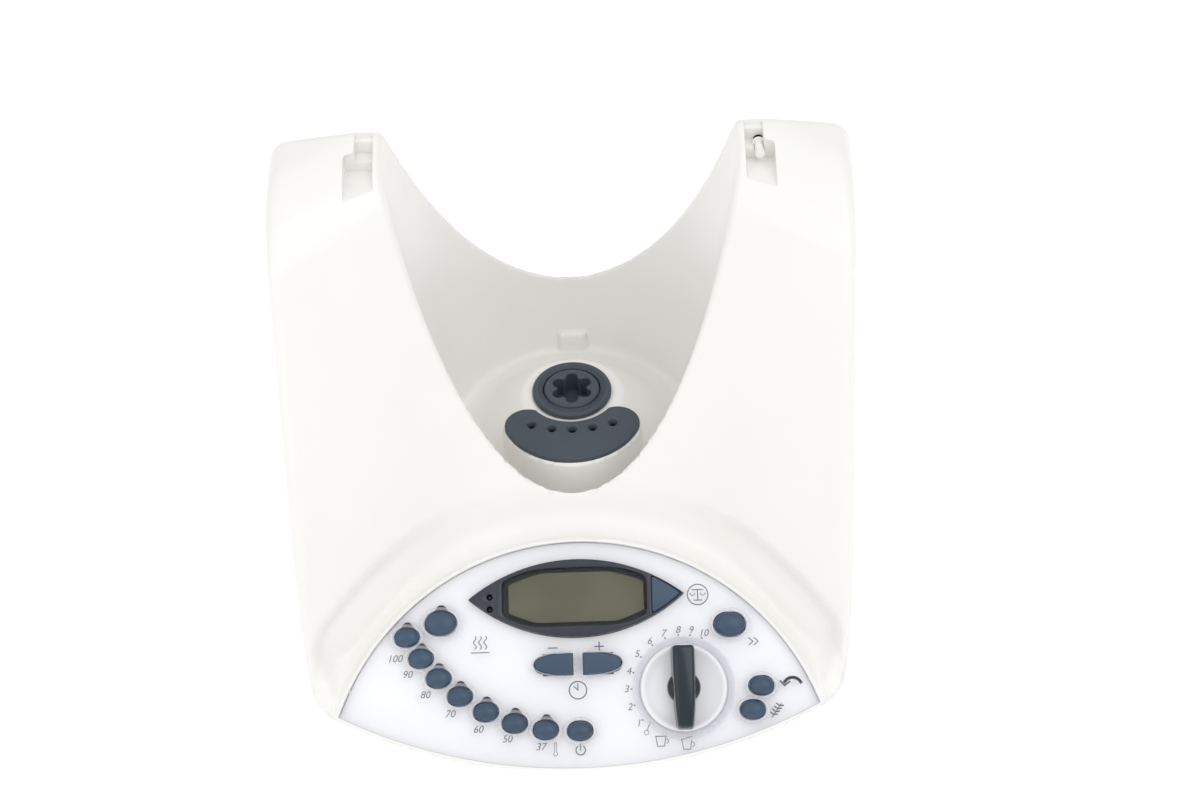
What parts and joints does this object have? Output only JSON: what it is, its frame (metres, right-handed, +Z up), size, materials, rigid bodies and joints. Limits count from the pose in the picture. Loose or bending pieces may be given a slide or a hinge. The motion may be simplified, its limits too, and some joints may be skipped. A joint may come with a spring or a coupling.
{
  "type": "cooking blender base",
  "caption": "Motor and heating base of a cooking blender: moulded body with two arms round a bowl well, lobed drive coupling, contact strip and a sloping panel with a knob and keys.",
  "frame": {"origin": "middle of the footprint, on the surface that the feet stand on", "axes": "+X right as the user faces the panel, +Y to the back, +Z up"},
  "size_m": [0.2816, 0.285, 0.2682],
  "materials": {
    "body_white": "satin moulded, warm white",
    "base_grey": "matt",
    "panel_print": "satin print",
    "clear_cover": "clear polished plastic",
    "display_dark": "gloss",
    "screen_green": "dull liquid crystal",
    "button_blue": "satin",
    "dark_rubber": "matt rubber",
    "knob_dark": "polished",
    "knob_pale": "frosted clear",
    "board_green": "lacquered board",
    "part_black": "matt",
    "steel": "turned",
    "alloy": "cast",
    "winding": "laminations and varnished winding",
    "contact_brass": "bright"
  },
  "bodies": {
    "base": {"housing": "body_white", "base_plate": "base_grey", "panel_backing": "panel_print", "panel_cover": "clear_cover", "display_bezel": "display_dark", "display_window": "clear_cover", "lcd_module": "screen_green", "panel_board": "board_green", "keypad_mat": "dark_rubber", "marker_lights": "display_dark", "knob_encoder": "part_black", "buzzer": "part_black", "coupling_seal": "dark_rubber", "contact_strip": "dark_rubber", "contact_sockets": "contact_brass", "socket_block": "part_black", "drive_bearings": "steel", "bearing_housing": "alloy", "drive_belt": "dark_rubber", "motor_case": "alloy", "motor_stator": "winding", "motor_bearings": "steel", "motor_bracket": "steel", "feet": "dark_rubber", "load_cells": "alloy", "power_board": "board_green", "heat_sink": "alloy", "capacitors": "part_black", "cord_gland": "base_grey", "lid_switch": "part_black", "base_screws": "steel", "drive_screws": "steel", "panel_screws": "steel"},
    "knob": {"knob_handle": "knob_dark", "knob_dish": "knob_pale", "knob_shaft": "steel"},
    "drive": {"drive_coupling": "knob_dark", "drive_shaft": "steel", "driven_pulley": "base_grey"},
    "motor_spindle": {"motor_rotor": "steel", "motor_shaft": "steel", "motor_pulley": "alloy", "motor_fan": "part_black"},
    "lid_plunger": {"lid_plunger": "body_white"},
    "button_steam": {"button_steam": "button_blue"},
    "button_100": {"button_100": "button_blue"},
    "button_90": {"button_90": "button_blue"},
    "button_80": {"button_80": "button_blue"},
    "button_70": {"button_70": "button_blue"},
    "button_60": {"button_60": "button_blue"},
    "button_50": {"button_50": "button_blue"},
    "button_37": {"button_37": "button_blue"},
    "button_power": {"button_power": "button_blue"},
    "button_minus": {"button_minus": "button_blue"},
    "button_plus": {"button_plus": "button_blue"},
    "button_scale": {"button_scale": "button_blue"},
    "button_burst": {"button_burst": "button_blue"},
    "button_reverse": {"button_reverse": "button_blue"},
    "button_dough": {"button_dough": "button_blue"}
  },
  "joints": [
    {"name": "button_steam_press", "type": "slide", "parent": "base", "child": "button_steam", "axis": [0, 0.5664, -0.8241], "range_m": [0, 0.001], "stiffness_N_per_m": 500, "springref_m": -0.001},
    {"name": "button_100_press", "type": "slide", "parent": "base", "child": "button_100", "axis": [0, 0.5664, -0.8241], "range_m": [0, 0.001], "stiffness_N_per_m": 500, "springref_m": -0.001},
    {"name": "button_90_press", "type": "slide", "parent": "base", "child": "button_90", "axis": [0, 0.5664, -0.8241], "range_m": [0, 0.001], "stiffness_N_per_m": 500, "springref_m": -0.001},
    {"name": "button_80_press", "type": "slide", "parent": "base", "child": "button_80", "axis": [0, 0.5664, -0.8241], "range_m": [0, 0.001], "stiffness_N_per_m": 500, "springref_m": -0.001},
    {"name": "button_70_press", "type": "slide", "parent": "base", "child": "button_70", "axis": [0, 0.5664, -0.8241], "range_m": [0, 0.001], "stiffness_N_per_m": 500, "springref_m": -0.001},
    {"name": "button_60_press", "type": "slide", "parent": "base", "child": "button_60", "axis": [0, 0.5664, -0.8241], "range_m": [0, 0.001], "stiffness_N_per_m": 500, "springref_m": -0.001},
    {"name": "button_50_press", "type": "slide", "parent": "base", "child": "button_50", "axis": [0, 0.5664, -0.8241], "range_m": [0, 0.001], "stiffness_N_per_m": 500, "springref_m": -0.001},
    {"name": "button_37_press", "type": "slide", "parent": "base", "child": "button_37", "axis": [0, 0.5664, -0.8241], "range_m": [0, 0.001], "stiffness_N_per_m": 500, "springref_m": -0.001},
    {"name": "button_power_press", "type": "slide", "parent": "base", "child": "button_power", "axis": [0, 0.5664, -0.8241], "range_m": [0, 0.001], "stiffness_N_per_m": 500, "springref_m": -0.001},
    {"name": "button_minus_press", "type": "slide", "parent": "base", "child": "button_minus", "axis": [0, 0.5664, -0.8241], "range_m": [0, 0.001], "stiffness_N_per_m": 500, "springref_m": -0.001},
    {"name": "button_plus_press", "type": "slide", "parent": "base", "child": "button_plus", "axis": [0, 0.5664, -0.8241], "range_m": [0, 0.001], "stiffness_N_per_m": 500, "springref_m": -0.001},
    {"name": "button_scale_press", "type": "slide", "parent": "base", "child": "button_scale", "axis": [0, 0.5664, -0.8241], "range_m": [0, 0.001], "stiffness_N_per_m": 500, "springref_m": -0.001},
    {"name": "button_burst_press", "type": "slide", "parent": "base", "child": "button_burst", "axis": [0, 0.5664, -0.8241], "range_m": [0, 0.001], "stiffness_N_per_m": 500, "springref_m": -0.001},
    {"name": "button_reverse_press", "type": "slide", "parent": "base", "child": "button_reverse", "axis": [0, 0.5664, -0.8241], "range_m": [0, 0.001], "stiffness_N_per_m": 500, "springref_m": -0.001},
    {"name": "button_dough_press", "type": "slide", "parent": "base", "child": "button_dough", "axis": [0, 0.5664, -0.8241], "range_m": [0, 0.001], "stiffness_N_per_m": 500, "springref_m": -0.001},
    {"name": "speed_knob_turn", "type": "hinge", "parent": "base", "child": "knob", "pos_m": [0.052, -0.10953, 0.04666], "axis": [0, 0.5664, -0.8241], "range_deg": [0, 210]},
    {"name": "drive_spin", "type": "hinge", "parent": "base", "child": "drive", "pos_m": [0, 0.046, 0], "axis": [0, 0, 1], "continuous": true},
    {"name": "motor_spin", "type": "hinge", "parent": "base", "child": "motor_spindle", "pos_m": [0.10381, 0.046, 0], "axis": [0, 0, 1], "continuous": true},
    {"name": "lid_plunger_press", "type": "slide", "parent": "base", "child": "lid_plunger", "axis": [0, 1, 0], "range_m": [0, 0.0025], "stiffness_N_per_m": 300, "springref_m": -0.002}
  ],
  "couplings": [
    {"joint": "motor_spin", "follows": "drive_spin", "ratio": 3.4}
  ]
}
